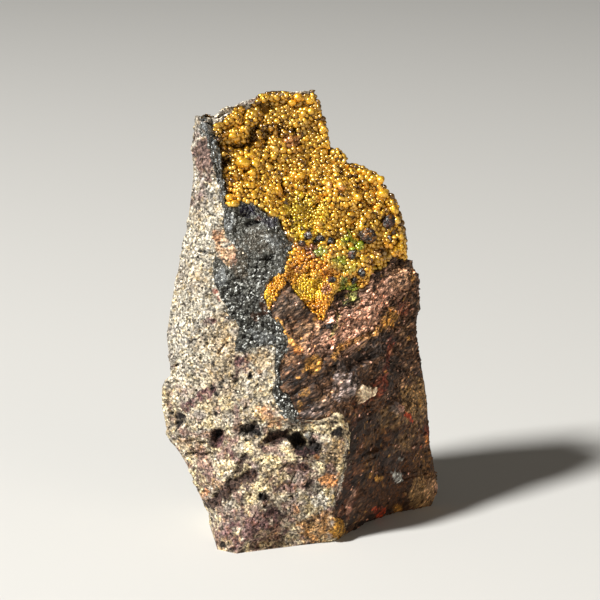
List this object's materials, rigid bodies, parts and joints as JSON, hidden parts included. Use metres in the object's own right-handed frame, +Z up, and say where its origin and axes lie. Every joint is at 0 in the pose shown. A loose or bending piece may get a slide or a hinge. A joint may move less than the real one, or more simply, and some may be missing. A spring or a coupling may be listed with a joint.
{
  "type": "goethite specimen",
  "caption": "Upright broken block of volcanic rock with a golden botryoidal goethite crust on its upper front, standing on its own broken base.",
  "frame": {"origin": "on the flat broken base, under the middle of the bounding box", "axes": "+Z up, along the specimen's length; -Y is the front with the golden crust; +X is the steep iron-stained side"},
  "size_m": [0.067, 0.0474, 0.1043],
  "materials": {
    "goethite_specimen": "rough cream and brown volcanic rock, with a metallic golden-orange botryoidal goethite crust and its slate-grey broken rim"
  },
  "bodies": {
    "root": {"goethite_specimen": "goethite_specimen"}
  },
  "joints": []
}
